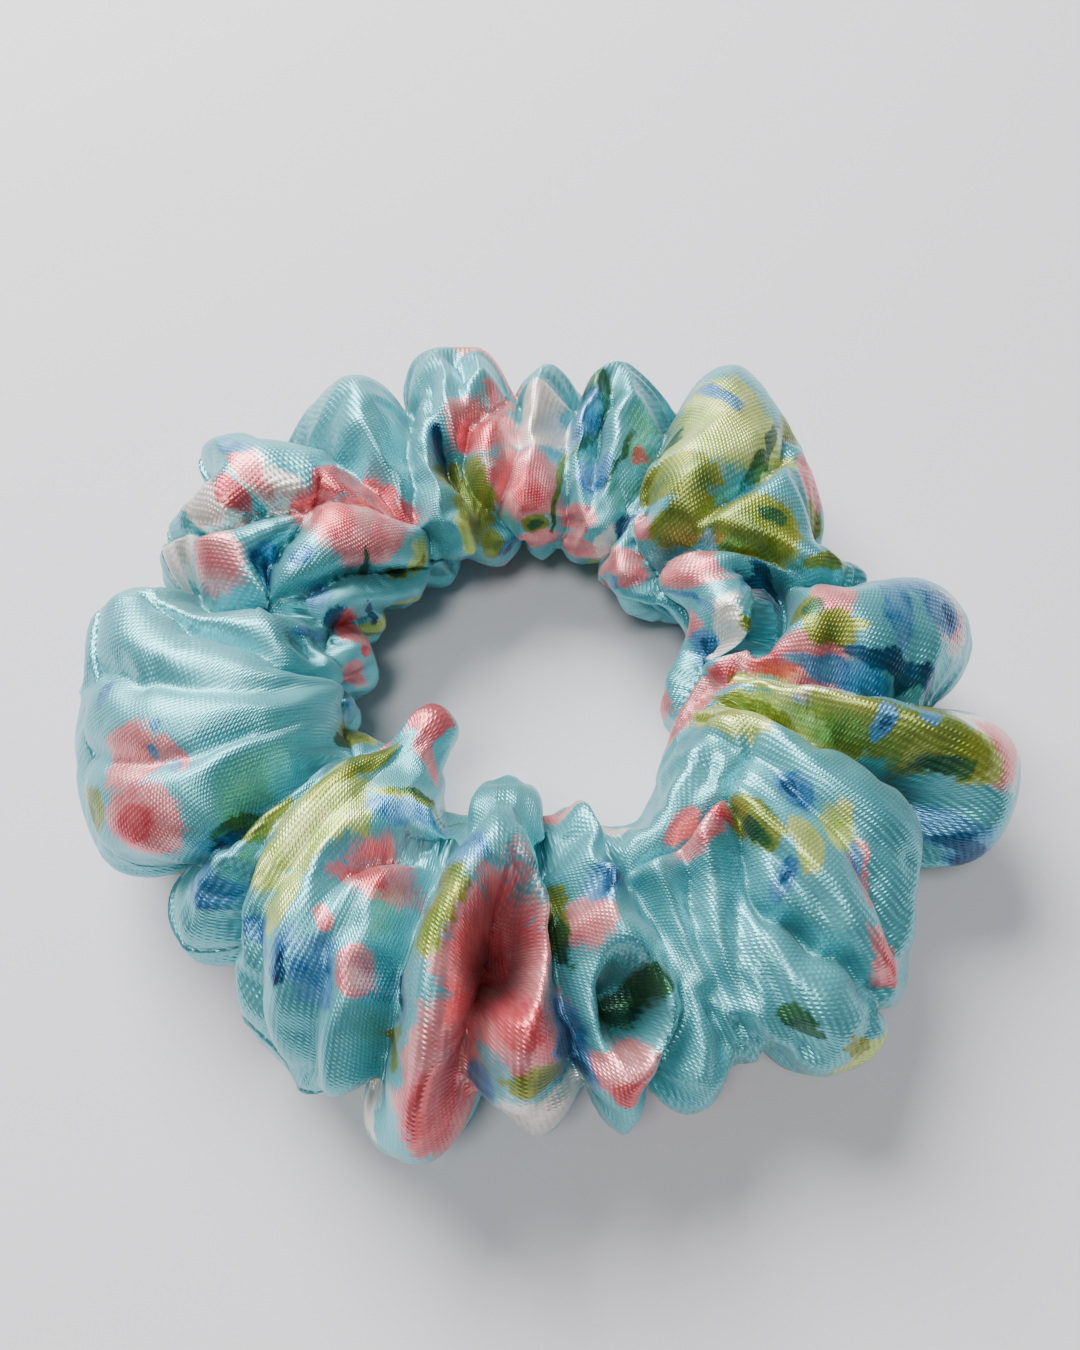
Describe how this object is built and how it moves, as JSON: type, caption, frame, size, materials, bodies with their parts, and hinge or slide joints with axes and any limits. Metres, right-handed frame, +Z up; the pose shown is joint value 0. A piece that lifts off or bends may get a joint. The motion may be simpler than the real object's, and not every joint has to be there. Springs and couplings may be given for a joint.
{
  "type": "scrunchie",
  "caption": "Hair scrunchie: a gathered satin tube sewn into a ring round a loop of flat braided elastic.",
  "frame": {"origin": "on the table, at the middle of the ring's outline, under the middle of the opening", "axes": "+Z up along the opening's axis, +X to the right and along the stretch, -Y towards a person looking at it"},
  "size_m": [0.1004, 0.1, 0.0249],
  "materials": {
    "printed_satin": "satin",
    "white_yarn": "matte",
    "natural_rubber": "matte",
    "sewing_thread": "satin"
  },
  "bodies": {
    "left_side": {"cover_left_half": "printed_satin", "elastic_braid": "white_yarn", "elastic_rubber_cores": "natural_rubber", "elastic_lap_stitches": "white_yarn", "seam_stitches_left": "sewing_thread", "closing_seam_stitches": "sewing_thread"},
    "right_side": {"cover_right_half": "printed_satin", "seam_stitches_right": "sewing_thread"}
  },
  "joints": [
    {"name": "stretch", "type": "slide", "parent": "left_side", "child": "right_side", "axis": [1, 0, 0], "range_m": [0, 0.07], "stiffness_N_per_m": 45, "deforming": ["elastic_braid", "elastic_rubber_cores"]}
  ]
}
